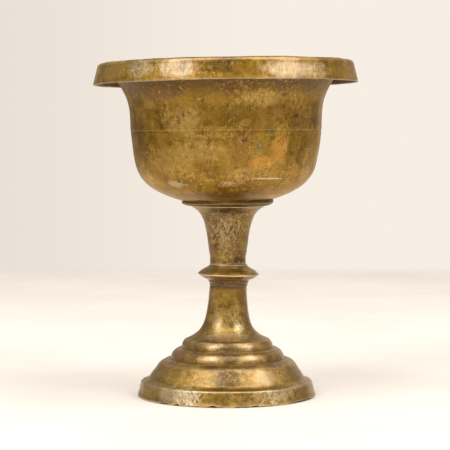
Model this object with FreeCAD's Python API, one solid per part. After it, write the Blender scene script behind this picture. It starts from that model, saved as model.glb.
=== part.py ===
import FreeCAD, Part
import math
import os

from FreeCAD import Vector

# A standing brass oil lamp: a flared bowl on a stem with a knop and a stepped round foot.
# Millimetres, +Z up, origin at the centre of the foot's underside, every casting turned about Z.
# The castings are stacked on one tie rod and clamped between two nuts.

# Heights above the table
BAND_TOP = 7.5
RING_TOPS = (18.6, 24.2, 28.2)
STEM_TOP = 55.1
KNOP_TOP = 66.1
TRUMPET_TOP = 95.1
COLLAR_TOP = 97.1
LINE_HEIGHT = 132.2
FLARE_START = 138.6
SKIRT_EDGE = 155.8
LAMP_TOP = 166.5

# Outside radii
BASE_RADIUS = 44.75
BAND_RADIUS = 42.7
LOWER_STEM_RADIUS = 9.2
KNOP_RADIUS = 15.3
UPPER_STEM_RADIUS = 8.95
TRUMPET_RADIUS = 18.4
COLLAR_RADIUS = 22.85
BOWL_RADIUS = 47.4
FLARE_ARC = 31.5
FLARE_ROOT = 47.75
SKIRT_RADIUS = 65.9
RIDGE_RADIUS = 61.5

# Walls
BOWL_WALL = 2.0
LIP_WALL = 1.3
FOOT_WALL = 3.2
LINE_DEPTH = 0.25
LINE_WIDTH = 0.5
LINE_GAP = 1.1

# Tie rod and the passage through the castings
ROD_RADIUS = 4.0
ROD_PASSAGE = 4.3
ROD_BOTTOM = 14.9
ROD_CHAMFER = 0.8
THREAD_PLAY = 0.05
WASHER_PLAY = 0.25
CLAMP_CEILING = 26.4

# Spigots that centre the knop in the stem pieces
SPIGOT_RADIUS = 6.4
SPIGOT_LENGTH = 3.6
SPIGOT_PLAY = 0.1
SPIGOT_END_GAP = 0.4

# Nuts, washers and seal
NUT_FLATS = 13.0
FOOT_NUT_HEIGHT = 6.5
FOOT_WASHER_RADIUS = 8.0
FOOT_WASHER_HEIGHT = 1.2
SEAL_RADIUS = 8.5
SEAL_HEIGHT = 1.0
FLOOR_WASHER_RADIUS = 9.5
FLOOR_WASHER_HEIGHT = 1.2
ROD_ABOVE_WASHER = 5.0
WICK_NUT_THREAD = 5.6
WICK_NUT_WEB = 1.4
WICK_SOCKET_RADIUS = 2.5
WICK_SOCKET_DEPTH = 8.0
WICK_NUT_NECK = 4.2

FLOOR_TOP = COLLAR_TOP + BOWL_WALL
SEAL_TOP = FLOOR_TOP + SEAL_HEIGHT
WASHER_TOP = SEAL_TOP + FLOOR_WASHER_HEIGHT
WICK_NUT_TOP = WASHER_TOP + WICK_NUT_THREAD + WICK_NUT_WEB + WICK_SOCKET_DEPTH


class Outline:
    """A closed outline of (radius, height) points that is turned about the Z axis."""

    def __init__(self, radius, height):
        self.start = Vector(radius, 0, height)
        self.here = self.start
        self.edges = []

    def line(self, radius, height):
        there = Vector(radius, 0, height)
        self.edges.append(Part.LineSegment(self.here, there).toShape())
        self.here = there

    def lines(self, *points):
        for radius, height in points:
            self.line(radius, height)

    def arc(self, middle, end):
        there = Vector(end[0], 0, end[1])
        through = Vector(middle[0], 0, middle[1])
        self.edges.append(Part.Arc(self.here, through, there).toShape())
        self.here = there

    def curve(self, *points):
        knots = [self.here] + [Vector(radius, 0, height) for radius, height in points]
        spline = Part.BSplineCurve()
        spline.interpolate(knots)
        self.edges.append(spline.toShape())
        self.here = knots[-1]

    def turned(self):
        if self.here.distanceToPoint(self.start) > 1e-6:
            self.line(self.start.x, self.start.z)
        face = Part.Face(Part.Wire(self.edges))
        return face.revolve(Vector(0, 0, 0), Vector(0, 0, 1), 360)


def ring(inner, outer, bottom, top):
    """A plain washer."""
    outline = Outline(inner, bottom)
    outline.lines((outer, bottom), (outer, top), (inner, top))
    return outline.turned()


def hexagon(flats, bottom, height):
    """A hexagonal bar across the given flats, standing on bottom."""
    corner_radius = flats / 2 / math.cos(math.pi / 6)
    corners = []
    for step in range(7):
        angle = math.pi / 3 * step
        corners.append(Vector(corner_radius * math.cos(angle), corner_radius * math.sin(angle), bottom))
    return Part.Face(Part.makePolygon(corners)).extrude(Vector(0, 0, height))


def nut_blank(flats, bottom, height):
    """A hexagon nut's outside, with its corners turned off top and bottom."""
    corner_radius = flats / 2 / math.cos(math.pi / 6)
    drop = (corner_radius - flats / 2) * math.tan(math.radians(30))
    top = bottom + height
    outline = Outline(0, bottom)
    outline.lines((flats / 2, bottom), (corner_radius, bottom + drop), (corner_radius, top - drop))
    outline.lines((flats / 2, top), (0, top))
    return hexagon(flats, bottom, height).common(outline.turned())


def foot():
    """The stepped foot and the lower stem, one hollow casting."""
    ring_3, ring_2, ring_1 = RING_TOPS
    inner_edge = (BASE_RADIUS - FOOT_WALL, 0)
    outline = Outline(*inner_edge)
    outline.lines((BASE_RADIUS - 0.4, 0), (BASE_RADIUS, 0.4))
    outline.arc((43.5, 3.9), (BAND_RADIUS, BAND_TOP - 0.3))
    outline.line(BAND_RADIUS - 0.3, BAND_TOP)
    outline.line(40.6, BAND_TOP + 0.6)
    # third ring: a hollow foot, then a broad ogee that rounds over to a narrow shelf
    outline.curve((39.2, 9.0), (37.9, 10.9), (36.0, 13.6), (33.7, 16.8), (30.4, ring_3))
    outline.line(28.6, ring_3 + 0.2)
    # second ring: a half-round bead
    outline.curve((28.1, 20.6), (26.7, 22.6), (24.7, ring_2 - 0.3))
    outline.line(23.0, ring_2)
    # first ring: a short rounded band
    outline.curve((22.8, 25.3), (22.3, 26.7), (21.2, ring_1))
    # flare into the lower stem
    outline.curve((17.0, 30.2), (13.0, 34.0), (10.6, 41.8), (9.6, 49.9), (LOWER_STEM_RADIUS, STEM_TOP))
    # counterbore for the knop's lower spigot, then the rod's passage
    counterbore = SPIGOT_RADIUS + SPIGOT_PLAY
    shoulder = STEM_TOP - SPIGOT_LENGTH - SPIGOT_END_GAP
    outline.lines((counterbore, STEM_TOP), (counterbore, shoulder), (ROD_PASSAGE, shoulder))
    outline.lines((ROD_PASSAGE, CLAMP_CEILING), (11.0, CLAMP_CEILING))
    # hollow underside, following the outside at the casting's wall thickness
    outline.curve((14.5, 25.5), (18.0, 22.9))
    outline.curve((24.0, 19.7), (29.0, 15.5), (32.6, 10.9))
    outline.curve((34.9, 7.5), (39.9, 4.6), inner_edge)
    return outline.turned()


def knop():
    """The sharp-edged ring at the middle of the stem, with a spigot at each end."""
    edge_height = STEM_TOP + 5.75
    outline = Outline(ROD_PASSAGE, STEM_TOP - SPIGOT_LENGTH)
    outline.lines((SPIGOT_RADIUS, STEM_TOP - SPIGOT_LENGTH), (SPIGOT_RADIUS, STEM_TOP))
    outline.lines((9.5, STEM_TOP), (9.5, STEM_TOP + 1.4), (10.0, STEM_TOP + 1.9), (10.0, STEM_TOP + 2.9))
    outline.curve((12.5, STEM_TOP + 3.8), (14.6, STEM_TOP + 5.1), (KNOP_RADIUS, edge_height - 0.15))
    outline.line(KNOP_RADIUS, edge_height + 0.15)
    outline.curve((13.7, edge_height + 1.7), (11.2, edge_height + 3.2), (9.3, KNOP_TOP - 0.7))
    outline.lines((9.3, KNOP_TOP), (SPIGOT_RADIUS, KNOP_TOP))
    outline.lines((SPIGOT_RADIUS, KNOP_TOP + SPIGOT_LENGTH), (ROD_PASSAGE, KNOP_TOP + SPIGOT_LENGTH))
    return outline.turned()


def upper_stem():
    """The trumpet that widens from the knop to the collar."""
    counterbore = SPIGOT_RADIUS + SPIGOT_PLAY
    shoulder = KNOP_TOP + SPIGOT_LENGTH + SPIGOT_END_GAP
    outline = Outline(ROD_PASSAGE, shoulder)
    outline.lines((counterbore, shoulder), (counterbore, KNOP_TOP), (UPPER_STEM_RADIUS, KNOP_TOP))
    outline.line(UPPER_STEM_RADIUS, KNOP_TOP + 3.2)
    thin_edge = (TRUMPET_RADIUS - 0.1, TRUMPET_TOP - 0.3)
    outline.curve((9.75, 74.7), (10.9, 82.9), (12.7, 88.9), (15.3, 92.8), thin_edge)
    outline.lines((TRUMPET_RADIUS, TRUMPET_TOP), (ROD_PASSAGE, TRUMPET_TOP))
    return outline.turned()


def bowl_collar():
    """The thin plate between the stem and the bowl, bevelled underneath."""
    outline = Outline(ROD_PASSAGE, TRUMPET_TOP)
    outline.line(TRUMPET_RADIUS + 0.2, TRUMPET_TOP)
    outline.arc((21.3, TRUMPET_TOP + 0.5), (COLLAR_RADIUS - 0.2, TRUMPET_TOP + 1.3))
    outline.lines((COLLAR_RADIUS, TRUMPET_TOP + 1.55), (COLLAR_RADIUS - 0.5, COLLAR_TOP - 0.1))
    outline.lines((COLLAR_RADIUS - 2.2, COLLAR_TOP), (ROD_PASSAGE, COLLAR_TOP))
    return outline.turned()


def incised_line(outline, radius, height):
    """A fine V-shaped line cut round the bowl at the given height."""
    outline.line(radius, height - LINE_WIDTH / 2)
    outline.line(radius - LINE_DEPTH, height)
    outline.line(radius, height + LINE_WIDTH / 2)


def bowl():
    """The bowl with its flared lip, folded down into a conical skirt."""

    def flare(degrees, inset):
        """A point on the flare's arc, moved inwards by the thickness of the metal."""
        reach = FLARE_ARC + inset
        angle = math.radians(degrees)
        return FLARE_ROOT + FLARE_ARC - reach * math.cos(angle), FLARE_START + reach * math.sin(angle)

    outline = Outline(ROD_PASSAGE, COLLAR_TOP)
    outline.line(19.5, COLLAR_TOP)
    below_line = (BOWL_RADIUS, LINE_HEIGHT - 1.0)
    outline.curve((30.6, 100.8), (38.4, 105.3), (43.3, 111.1), (45.8, 119.5), below_line)
    incised_line(outline, BOWL_RADIUS, LINE_HEIGHT)
    incised_line(outline, BOWL_RADIUS + 0.2, LINE_HEIGHT + LINE_GAP)
    outline.line(*flare(0, 0))
    outline.arc(flare(25, 0), flare(48, 0))
    # inside of the fold, then the skirt's inner face, edge and outer face
    outline.curve((60.1, LAMP_TOP - 2.4), (61.6, LAMP_TOP - 1.7), (62.6, LAMP_TOP - 2.7))
    outline.line(SKIRT_RADIUS - LIP_WALL, SKIRT_EDGE + 0.2)
    outline.line(SKIRT_RADIUS - LIP_WALL + 0.3, SKIRT_EDGE)
    outline.line(SKIRT_RADIUS - 0.2, SKIRT_EDGE)
    outline.line(SKIRT_RADIUS, SKIRT_EDGE + 0.3)
    outline.line(RIDGE_RADIUS + 2.5, LAMP_TOP - 2.7)
    shoulder = (RIDGE_RADIUS + 2.0, LAMP_TOP - 1.0)
    outline.curve(shoulder, (RIDGE_RADIUS + 1.0, LAMP_TOP - 0.2), (RIDGE_RADIUS, LAMP_TOP))
    outline.curve((RIDGE_RADIUS - 2.1, LAMP_TOP - 0.9), flare(48, 1.6))
    # inside of the flare and of the bowl
    outline.arc(flare(25, 1.7), flare(0, 1.9))
    outline.line(BOWL_RADIUS - BOWL_WALL, LINE_HEIGHT)
    outline.curve((43.7, 119.7), (41.4, 112.1), (37.0, 106.8), (29.8, 102.8), (19.5, FLOOR_TOP))
    outline.line(ROD_PASSAGE, FLOOR_TOP)
    return outline.turned()


def tie_rod():
    """The rod through the whole stack, drawn plain at its thread's outer size."""
    top = WASHER_TOP + ROD_ABOVE_WASHER
    outline = Outline(0, ROD_BOTTOM)
    outline.lines((ROD_RADIUS - ROD_CHAMFER, ROD_BOTTOM), (ROD_RADIUS, ROD_BOTTOM + ROD_CHAMFER))
    outline.lines((ROD_RADIUS, top - ROD_CHAMFER), (ROD_RADIUS - ROD_CHAMFER, top), (0, top))
    return outline.turned()


def foot_washer():
    """The plain washer that bears on the ceiling of the hollow foot."""
    bottom = CLAMP_CEILING - FOOT_WASHER_HEIGHT
    return ring(ROD_RADIUS + WASHER_PLAY, FOOT_WASHER_RADIUS, bottom, CLAMP_CEILING)


def foot_nut():
    """The hexagon nut that pulls the stack together from below."""
    bottom = CLAMP_CEILING - FOOT_WASHER_HEIGHT - FOOT_NUT_HEIGHT
    hole = Part.makeCylinder(ROD_RADIUS + THREAD_PLAY, FOOT_NUT_HEIGHT, Vector(0, 0, bottom))
    return nut_blank(NUT_FLATS, bottom, FOOT_NUT_HEIGHT).cut(hole)


def floor_seal():
    """The soft ring that keeps oil out of the rod's passage."""
    return ring(ROD_RADIUS + THREAD_PLAY, SEAL_RADIUS, FLOOR_TOP, SEAL_TOP)


def floor_washer():
    """The washer that spreads the wick nut's load over the seal."""
    return ring(ROD_RADIUS + WASHER_PLAY, FLOOR_WASHER_RADIUS, SEAL_TOP, WASHER_TOP)


def wick_nut():
    """The nut on the rod's upper end: hexagon below, round neck above, blind wick socket on top."""
    hexagon_top = WASHER_TOP + WICK_NUT_THREAD + WICK_NUT_WEB
    blank = nut_blank(NUT_FLATS, WASHER_TOP, WICK_NUT_THREAD + WICK_NUT_WEB)
    foot_of_neck = WICK_NUT_NECK + 0.4
    neck = Outline(0, hexagon_top - WICK_NUT_WEB)
    neck.lines((foot_of_neck, hexagon_top - WICK_NUT_WEB), (foot_of_neck, hexagon_top + 0.6))
    neck.lines((WICK_NUT_NECK, hexagon_top + 1.2), (WICK_NUT_NECK, WICK_NUT_TOP - 0.5))
    neck.lines((WICK_NUT_NECK - 0.5, WICK_NUT_TOP), (0, WICK_NUT_TOP))
    thread = Part.makeCylinder(ROD_RADIUS + THREAD_PLAY, WICK_NUT_THREAD, Vector(0, 0, WASHER_TOP))
    floor = WICK_NUT_TOP - WICK_SOCKET_DEPTH
    socket = Part.makeCylinder(WICK_SOCKET_RADIUS, WICK_SOCKET_DEPTH, Vector(0, 0, floor))
    return blank.fuse(neck.turned()).removeSplitter().cut(thread).cut(socket)


PIECES = {
    "foot": foot,
    "knop": knop,
    "upper_stem": upper_stem,
    "bowl_collar": bowl_collar,
    "bowl": bowl,
    "tie_rod": tie_rod,
    "foot_washer": foot_washer,
    "foot_nut": foot_nut,
    "floor_seal": floor_seal,
    "floor_washer": floor_washer,
    "wick_nut": wick_nut,
}

os.makedirs("parts", exist_ok=True)
for name, make in PIECES.items():
    shape = make()
    shape.exportStep("parts/" + name + ".step")
    print(name, "valid" if shape.isValid() else "NOT VALID", len(shape.Solids), round(shape.Volume, 1))
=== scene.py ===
import math

import bmesh
import bpy
import numpy as np
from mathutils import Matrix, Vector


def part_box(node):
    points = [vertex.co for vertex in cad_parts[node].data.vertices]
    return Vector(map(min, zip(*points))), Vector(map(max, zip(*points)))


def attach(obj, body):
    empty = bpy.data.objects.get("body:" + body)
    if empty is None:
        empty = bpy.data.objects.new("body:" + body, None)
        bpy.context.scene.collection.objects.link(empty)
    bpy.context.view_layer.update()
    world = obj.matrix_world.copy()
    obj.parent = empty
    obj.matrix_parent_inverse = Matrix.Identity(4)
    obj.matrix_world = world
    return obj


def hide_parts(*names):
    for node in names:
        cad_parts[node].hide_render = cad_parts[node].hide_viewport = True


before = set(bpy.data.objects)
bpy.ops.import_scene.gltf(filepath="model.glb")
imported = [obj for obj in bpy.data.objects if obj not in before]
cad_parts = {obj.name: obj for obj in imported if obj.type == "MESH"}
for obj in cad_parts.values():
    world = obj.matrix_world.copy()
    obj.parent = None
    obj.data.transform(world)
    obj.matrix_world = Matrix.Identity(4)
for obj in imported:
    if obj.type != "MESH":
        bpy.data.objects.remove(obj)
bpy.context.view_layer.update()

# An aged brass standing lamp. Outlines are drawn in millimetres of (radius, height) and turned about Z;
# heights that belong to a casting are counted from the CAD piece it replaces.
MM = 0.001


def low(node):
    """Height of a CAD piece's lowest point, in millimetres."""
    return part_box(node)[0][2] / MM


def high(node):
    """Height of a CAD piece's highest point, in millimetres."""
    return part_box(node)[1][2] / MM


def reach(node):
    """Largest radius of a CAD piece, in millimetres."""
    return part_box(node)[1][0] / MM


# ------------------------ outlines

FINE = 0.06  # spacing of the points along a drawn outline, in millimetres


def steps(length):
    """A column of numbers from 0 up to 1, for the points of a run of this length."""
    return np.linspace(0, 1, max(2, int(length / FINE)), endpoint=False)[:, None]


def spline(knots):
    """Natural cubic spline through the knots, sampled finely."""
    knots = np.array(knots, float)
    lengths = np.hypot(*np.diff(knots, axis=0).T)
    count = len(knots)
    matrix = np.eye(count)
    right = np.zeros((count, 2))
    for i in range(1, count - 1):
        matrix[i, i - 1:i + 2] = lengths[i - 1], 2 * (lengths[i - 1] + lengths[i]), lengths[i]
        slopes = np.diff(knots[i - 1:i + 2], axis=0) / lengths[i - 1:i + 1, None]
        right[i] = 6 * (slopes[1] - slopes[0])
    bend = np.linalg.solve(matrix, right)
    points = []
    for i, length in enumerate(lengths):
        t = steps(length)
        straight = knots[i] * (1 - t) + knots[i + 1] * t
        bow = ((1 - t) ** 3 - (1 - t)) * bend[i] + (t ** 3 - t) * bend[i + 1]
        points.append(straight + bow * length ** 2 / 6)
    return np.vstack(points)


class Outline:
    """A closed outline made of straight runs, arcs and curves, with worn corners."""

    def __init__(self, radius, height):
        self.start = self.here = (radius, height)
        self.runs = []

    def line(self, radius, height):
        length = math.hypot(radius - self.here[0], height - self.here[1])
        t = steps(length)
        self.runs.append(np.array(self.here) * (1 - t) + np.array((radius, height)) * t)
        self.here = (radius, height)
        return self

    def lines(self, *points):
        for point in points:
            self.line(*point)
        return self

    def curve(self, *points):
        self.runs.append(spline([self.here, *points]))
        self.here = points[-1]
        return self

    def closed(self, wear=0.2):
        """The outline's points, evenly spaced, with every corner rounded by wear."""
        if math.dist(self.here, self.start) > 1e-6:
            self.line(*self.start)
        return soften(even(np.vstack(self.runs), FINE), wear)

    def to_axis(self, wear=0.2):
        """The same for an outline that starts and ends on the axis."""
        half = np.vstack([*self.runs, [self.here]])
        half = even(np.vstack([half, (half * (-1, 1))[-2:0:-1]]), FINE)
        half = soften(half, wear)
        half = half[half[:, 0] >= 0]
        half[[0, -1], 0] = 0.0
        return half


def even(points, spacing):
    """The same closed line with evenly spaced points."""
    ring = np.vstack([points, points[:1]])
    at = np.concatenate([[0.0], np.cumsum(np.hypot(*np.diff(ring, axis=0).T))])
    where = np.linspace(0, at[-1], round(at[-1] / spacing), endpoint=False)
    return np.column_stack([np.interp(where, at, ring[:, k]) for k in (0, 1)])


def soften(points, width):
    """Gaussian rounding of a closed, evenly spaced line; width is in millimetres."""
    reach_points = max(1, int(3 * width / FINE))
    offsets = np.arange(-reach_points, reach_points + 1)
    weights = np.exp(-0.5 * (offsets * FINE / width) ** 2)
    weights /= weights.sum()
    out = np.zeros_like(points)
    for offset, weight in zip(offsets, weights):
        out += weight * np.roll(points, offset, axis=0)
    return out


def bend_of(points, width):
    """Signed bend of a closed line: above 0 on outer edges, below 0 in creases."""
    smooth = soften(points, width)
    before = smooth - np.roll(smooth, 1, axis=0)
    after = np.roll(smooth, -1, axis=0) - smooth
    cross = before[:, 0] * after[:, 1] - before[:, 1] * after[:, 0]
    return cross / (np.hypot(*before.T) * np.hypot(*after.T)) / FINE


# ------------------------ turned pieces

def waves(points, length, seed, count=28):
    """Smooth repeatable noise, about -1 to 1, with features of roughly the given length."""
    random = np.random.default_rng(seed)
    directions = random.normal(size=(count, 3))
    directions /= np.linalg.norm(directions, axis=1)[:, None]
    numbers = 2 * math.pi / length * random.uniform(0.6, 1.6, count)
    phases = random.uniform(0, 2 * math.pi, count)
    total = np.zeros(len(points))
    for direction, number, phase in zip(directions, numbers, phases):
        total += np.sin(points @ direction * number + phase)
    return total / math.sqrt(count / 2) / 1.6


def turn(name, points, rows, segments, form=None, inner=None, shade=None, calm=1.0, joined=True, ease=0.25):
    """A mesh turned from an outline, in millimetres, with its rows denser where the outline bends.

    form changes radius and height by angle. inner and shade say from 0 to 1 how far each point is an inner,
    unpolished face or a sheltered one that gets a brown film, partly dirt and partly painted shade. calm
    scales the wear, by a number or by height. A joined outline is a closed line; otherwise both of its ends
    are on the axis. ease keeps rows on straight runs."""
    wear = bend_of(points, 0.25) * (calm(points[:, 1]) if callable(calm) else calm)
    weight = ease + np.minimum(np.abs(bend_of(points, 0.15)), 2.0)
    weight = np.convolve(np.concatenate([weight[-8:], weight, weight[:8]]), np.ones(17) / 17, "valid")
    total = np.cumsum(weight)
    spread = np.linspace(total[0], total[-1], rows, endpoint=not joined)
    index = np.unique(np.round(np.interp(spread, total, np.arange(len(points)))).astype(int))
    line = points[index]
    rows = len(index)
    radius, angle = np.meshgrid(line[:, 0], np.arange(segments) / segments * 2 * math.pi, indexing="ij")
    height = np.repeat(line[:, 1:], segments, axis=1)
    if form:
        radius, height = form(radius, height, angle)
    marks = {"wear": np.repeat(wear[index], segments)}
    for mark, rule in (("inner", inner), ("shade", shade)):
        marks[mark] = np.repeat(rule(line) if rule else np.zeros(rows), segments)
    return build(name, radius, height, angle, marks, joined)


def in_scene(name, data):
    """A new object that holds the data, at the origin."""
    thing = bpy.data.objects.new(name, data)
    bpy.context.scene.collection.objects.link(thing)
    return thing


def build(name, radius, height, angle, marks, joined):
    """The mesh of a grid of rows by segments as an object at the origin."""
    rows, segments = radius.shape
    x, y = radius * np.cos(angle), radius * np.sin(angle)
    places = np.column_stack([x.ravel(), y.ravel(), height.ravel()])
    row, column = np.meshgrid(np.arange(rows if joined else rows - 1), np.arange(segments), indexing="ij")
    next_row, next_column = (row + 1) % rows, (column + 1) % segments
    corners = [row * segments + column, row * segments + next_column,
               next_row * segments + next_column, next_row * segments + column]
    faces = np.stack(corners, axis=-1).reshape(-1, 4)
    mesh = bpy.data.meshes.new(name)
    mesh.vertices.add(len(places))
    mesh.vertices.foreach_set("co", (places * MM).ravel())
    mesh.loops.add(faces.size)
    mesh.loops.foreach_set("vertex_index", faces.ravel())
    mesh.polygons.add(len(faces))
    mesh.polygons.foreach_set("loop_start", np.arange(0, faces.size, 4))
    mesh.update(calc_edges=True)
    for mark, values in marks.items():
        mesh.attributes.new(mark, "FLOAT", "POINT").data.foreach_set("value", values)
    if not joined:
        work = bmesh.new()
        work.from_mesh(mesh)
        poles = [v for v in work.verts if math.hypot(v.co.x, v.co.y) < 0.01 * MM]
        bmesh.ops.remove_doubles(work, verts=poles, dist=0.01 * MM)
        work.to_mesh(mesh)
        work.free()
    mesh.validate()
    mesh.shade_smooth()
    return in_scene(name, mesh)


def places_of(piece):
    """The piece's vertices in millimetres."""
    places = np.empty(len(piece.data.vertices) * 3)
    piece.data.vertices.foreach_get("co", places)
    return places.reshape(-1, 3) / MM


def move_to(piece, places):
    piece.data.vertices.foreach_set("co", (places * MM).ravel())
    piece.data.update()


def settle(piece, lean, tilt):
    """Shifts a piece sideways by lean millimetres and tips it by tilt degrees, left to right.

    Each is a number or a function of height."""
    places = places_of(piece)
    z = places[:, 2].copy()
    lean, tilt = (value(z) if callable(value) else value for value in (lean, tilt))
    places[:, 2] += places[:, 0] * np.tan(np.radians(tilt))
    places[:, 0] += lean
    move_to(piece, places)


def aged(piece, dents, lean, tilt):
    """The piece, dented by each (length, depth, seed) and then settled."""
    for values in dents:
        dent(piece, *values)
    settle(piece, lean, tilt)
    return piece


def dent(piece, length, depth, seed):
    """Uneven surface left by the mould and by long use."""
    places = places_of(piece)
    normals = np.empty(places.size)
    piece.data.vertices.foreach_get("normal", normals)
    places += normals.reshape(-1, 3) * (depth * waves(places, length, seed))[:, None]
    move_to(piece, places)


# ------------------------ procedural materials

class Nodes:
    """Adds nodes to a node tree; values are numbers or other nodes' outputs."""

    def __init__(self, tree):
        self.tree = tree

    def add(self, kind, **settings):
        node = self.tree.nodes.new(kind)
        for key, value in settings.items():
            setattr(node, key, value)
        return node

    def feed(self, socket, value):
        if isinstance(value, bpy.types.NodeSocket):
            self.tree.links.new(value, socket)
        else:
            socket.default_value = value

    def calculate(self, operation, a, b=0.0):
        node = self.add("ShaderNodeMath", operation=operation)
        self.feed(node.inputs[0], a)
        self.feed(node.inputs[1], b)
        return node.outputs[0]

    def plus(self, a, b, share=None):
        """a + b, or a + b * share."""
        return self.calculate("ADD", a, b if share is None else self.times(b, share))

    def minus(self, a, b, share=None):
        return self.calculate("SUBTRACT", a, b if share is None else self.times(b, share))

    def times(self, a, b):
        return self.calculate("MULTIPLY", a, b)

    def larger(self, a, b):
        return self.calculate("MAXIMUM", a, b)

    def between(self, value, start, end, low=0.0, high=1.0):
        """value eased from low at start to high at end."""
        node = self.add("ShaderNodeMapRange", interpolation_type="SMOOTHSTEP")
        for name, number in (("Value", value), ("From Min", start), ("From Max", end),
                             ("To Min", low), ("To Max", high)):
            self.feed(node.inputs[name], number)
        return node.outputs["Result"]


class Paint(Nodes):
    """A procedural material. Lengths inside it are in millimetres."""

    def __init__(self, name):
        self.material = bpy.data.materials.new(name)
        self.material.use_nodes = True
        super().__init__(self.material.node_tree)
        self.shader = self.tree.nodes["Principled BSDF"]
        self.place = self.vector("SCALE", self.add("ShaderNodeTexCoord").outputs["Object"], scale=1 / MM)

    def vector(self, operation, a, b=None, scale=None):
        node = self.add("ShaderNodeVectorMath", operation=operation)
        self.feed(node.inputs[0], a)
        if b is not None:
            self.feed(node.inputs[1], b)
        if scale is not None:
            node.inputs["Scale"].default_value = scale
        return node.outputs["Value" if operation == "LENGTH" else "Vector"]

    def placed(self, sizes, shift, place=None):
        """The place on the piece, divided by the three sizes and moved by shift.

        A Mapping node is used because the renderer has room for only about 80 separately computed vectors."""
        node = self.add("ShaderNodeMapping")
        self.feed(node.inputs["Vector"], place or self.place)
        node.inputs["Scale"].default_value = [1 / size for size in sizes]
        node.inputs["Location"].default_value = shift
        return node.outputs["Vector"]

    def texture(self, kind, vector, **numbers):
        """The outputs of a texture that is already placed in millimetres; numbers set its other inputs."""
        node = self.add(kind)
        self.feed(node.inputs["Vector"], vector)
        node.inputs["Scale"].default_value = 1.0
        for name, number in numbers.items():
            node.inputs[name].default_value = number
        return node.outputs

    def noise(self, size, stretch=(1, 1, 1), shift=0.0, detail=4.0, roughness=0.6, distortion=0.0):
        """Noise from 0 to 1 with features about size millimetres across, longer where stretch is above 1."""
        vector = self.placed([size * s for s in stretch], (shift, shift * 0.7, -shift * 1.3))
        return self.texture("ShaderNodeTexNoise", vector, Detail=detail, Roughness=roughness,
                            Distortion=distortion)["Fac"]

    def cells(self, size, stretch=(1, 1, 1), shift=0.0):
        """Distance to scattered points, about size millimetres apart."""
        vector = self.placed([size * s for s in stretch], (shift, -shift, shift * 0.6))
        return self.texture("ShaderNodeTexVoronoi", vector)["Distance"]

    def attribute(self, name):
        return self.add("ShaderNodeAttribute", attribute_name=name).outputs["Fac"]

    def mix(self, factor, a, b, blend="MIX"):
        """a where factor is 0, b where it is 1, or the two blended in another way."""
        node = self.add("ShaderNodeMix", data_type="RGBA", blend_type=blend)
        self.feed(node.inputs[0], factor)
        for socket, colour in ((node.inputs[6], a), (node.inputs[7], b)):
            self.feed(socket, (*colour, 1.0) if isinstance(colour, tuple) else colour)
        return node.outputs[2]

    def blend(self, factor, a, b):
        """a where factor is 0, b where it is 1."""
        return self.plus(a, self.times(factor, self.minus(b, a)))

    def shaded(self, colour, amount):
        """The colour made lighter or darker: multiplied by amount."""
        node = self.add("ShaderNodeCombineColor")
        for socket in node.inputs[:3]:
            self.feed(socket, amount)
        return self.mix(1.0, colour, node.outputs[0], "MULTIPLY")

    def bump(self, height, distance, normal=None):
        node = self.add("ShaderNodeBump")
        node.inputs["Strength"].default_value = 1.0
        node.inputs["Distance"].default_value = distance * MM
        self.feed(node.inputs["Height"], height)
        if normal is not None:
            self.feed(node.inputs["Normal"], normal)
        return node.outputs["Normal"]

    def spot(self, angle, radius, height, wide, tall, ragged=0.6):
        """A ragged patch centred on a point of the surface: 1 inside, 0 outside, with a soft edge."""
        turn_by = math.radians(angle)
        centre = (radius * math.sin(turn_by), -radius * math.cos(turn_by), height)
        offset = self.vector("SUBTRACT", self.place, centre)
        offset = self.vector("MULTIPLY", offset, (1 / wide, 1 / wide, 1 / tall))
        far = self.vector("LENGTH", offset)
        edge = self.noise(max(0.8 * min(wide, tall), 1.0), shift=angle * 0.37 + height, roughness=0.7)
        far = self.plus(far, self.times(self.minus(edge, 0.5), ragged * 2))
        return self.between(far, 1.0, 0.5)

    def strokes(self, width, length, tilt, shift=0.0):
        """Noise drawn out into strokes that lean tilt degrees from upright, seen from the front."""
        turned = self.add("ShaderNodeVectorRotate", rotation_type="Y_AXIS")
        self.feed(turned.inputs["Vector"], self.place)
        turned.inputs["Angle"].default_value = math.radians(tilt)
        vector = self.placed((width, length, length), (shift, -shift, shift * 0.5), turned.outputs[0])
        return self.texture("ShaderNodeTexNoise", vector, Detail=1.0, Roughness=0.5)["Fac"]

    def finish(self, colour, roughness, metallic, normal):
        names = ("Base Color", "Roughness", "Metallic", "Normal")
        for name, value in zip(names, (colour, roughness, metallic, normal)):
            self.feed(self.shader.inputs[name], value)
        return self.material


OLIVE = (0.205, 0.110, 0.003)
GOLD = (0.322, 0.178, 0.013)
TAN = (0.455, 0.290, 0.072)
REDDISH = (0.232, 0.102, 0.016)
BROWN = (0.095, 0.047, 0.008)
SOOTY = (0.075, 0.038, 0.006)
BARE_AND_HIGHLIGHT = (0.810, 0.660, 0.430)
RUBBED = (0.600, 0.435, 0.190)
ROSY = (0.840, 0.650, 0.460)
GRIME = (0.045, 0.028, 0.012)
VERDIGRIS = (0.135, 0.130, 0.070)
SLATE = (0.150, 0.135, 0.110)
ORANGE = (0.540, 0.272, 0.045)
EDGE_ON = (0.920, 0.790, 0.600, 1.0)  # tint of the metal seen nearly edge on


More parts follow.
